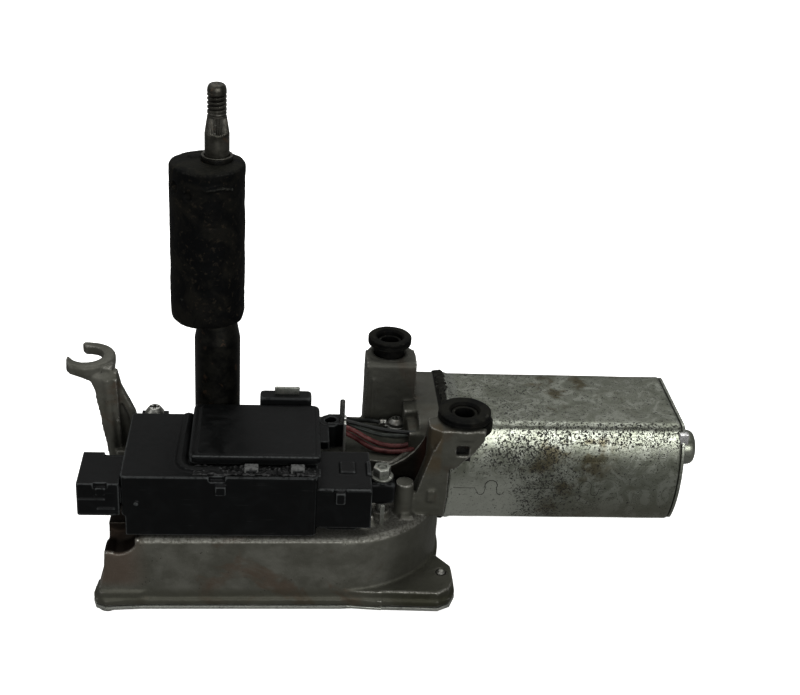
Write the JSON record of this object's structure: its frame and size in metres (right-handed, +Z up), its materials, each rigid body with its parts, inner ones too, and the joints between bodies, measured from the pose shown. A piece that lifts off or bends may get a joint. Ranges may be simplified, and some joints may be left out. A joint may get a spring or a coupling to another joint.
{
  "type": "windshield wiper motor unit",
  "caption": "Rear windshield wiper drive: cast worm gearbox with motor can, control module, rubber-mounted lugs and a tall threaded output spindle in a rubber sleeve.",
  "frame": {"origin": "on the output spindle's axis, in the plane that the unit stands on", "axes": "+Z up along the output spindle, +X along the motor away from the gearbox, +Y to the back, away from the control module"},
  "size_m": [0.2965, 0.1241, 0.2127],
  "materials": {
    "casting": "die-cast aluminium, dull and weathered",
    "zinc_steel": "zinc-plated steel, dull, pitted and stained",
    "bright_steel": "zinc-plated hardware, semi-bright",
    "dark_steel": "dark oiled steel",
    "black_plastic": "black moulded plastic, satin",
    "rubber": "black rubber, dusty",
    "gear_plastic": "natural acetal",
    "ferrite": "dark ferrite or carbon",
    "copper": "copper",
    "board": "green circuit board",
    "bronze": "sintered bronze",
    "red_insulation": "faded red insulation",
    "black_insulation": "black insulation",
    "grey_insulation": "grey-green insulation"
  },
  "bodies": {
    "housing": {"gear_housing": "casting", "cover_plate": "zinc_steel", "cover_screw_1": "bright_steel", "cover_screw_2": "bright_steel", "cover_screw_3": "bright_steel", "cover_screw_4": "bright_steel", "motor_can": "zinc_steel", "can_seal": "rubber", "end_plate": "zinc_steel", "worm_end_bush": "bronze", "front_bush": "bronze", "rear_bush": "bronze", "magnet_front": "ferrite", "magnet_back": "ferrite", "brush_plate": "black_plastic", "brush_1": "ferrite", "brush_2": "ferrite", "brush_spring_1": "bright_steel", "brush_spring_2": "bright_steel", "wheel_pin": "bright_steel", "sector_pin": "bright_steel", "spindle_tube": "dark_steel", "lower_bush": "bronze", "upper_bush": "bronze", "rubber_sleeve": "rubber", "module_case": "black_plastic", "module_lid": "black_plastic", "connector_shroud": "black_plastic", "pin_header": "black_plastic", "circuit_board": "board", "relay": "black_plastic", "choke_cover": "black_plastic", "choke_tab": "bright_steel", "rear_screw": "bright_steel", "hex_screw": "bright_steel", "blade_terminal": "bright_steel", "red_wire_1": "red_insulation", "red_wire_2": "red_insulation", "grey_wire": "grey_insulation", "dark_wire": "black_insulation", "earth_wire": "black_insulation", "ring_terminal": "bright_steel", "earth_screw": "bright_steel", "front_grommet": "rubber", "rear_grommet": "rubber", "front_sleeve": "bright_steel", "rear_sleeve": "bright_steel"},
    "armature": {"armature_shaft": "bright_steel", "armature_core": "dark_steel", "winding_front": "copper", "winding_rear": "copper", "commutator": "copper"},
    "wheel": {"worm_wheel": "gear_plastic", "crank_pin": "bright_steel"},
    "rod": {"connecting_rod": "zinc_steel"},
    "sector": {"sector_gear": "dark_steel", "sector_stud": "bright_steel"},
    "output": {"spindle": "dark_steel", "pinion": "bright_steel", "spindle_circlip": "bright_steel"}
  },
  "joints": [
    {"name": "armature_spin", "type": "hinge", "parent": "housing", "child": "armature", "pos_m": [0, 0.0242, 0.0315], "axis": [1, 0, 0], "continuous": true},
    {"name": "wheel_spin", "type": "hinge", "parent": "housing", "child": "wheel", "pos_m": [0.058, -0.014, 0], "axis": [0, 0, 1], "continuous": true},
    {"name": "rod_pivot", "type": "hinge", "parent": "wheel", "child": "rod", "pos_m": [0.0628, -0.00523, 0], "axis": [0, 0, 1], "continuous": true},
    {"name": "spindle_swing", "type": "hinge", "parent": "housing", "child": "output", "pos_m": [0, 0, 0], "axis": [0, 0, 1], "range_deg": [0, 97.9]},
    {"name": "sector_swing", "type": "hinge", "parent": "housing", "child": "sector", "pos_m": [0.0195, -0.03377, 0], "axis": [0, 0, 1], "range_deg": [-44, 0]}
  ],
  "couplings": [
    {"joint": "wheel_spin", "follows": "armature_spin", "ratio": 0.016667},
    {"joint": "rod_pivot", "follows": "armature_spin", "ratio": -0.016667},
    {"joint": "sector_swing", "follows": "spindle_swing", "ratio": -0.44444}
  ]
}
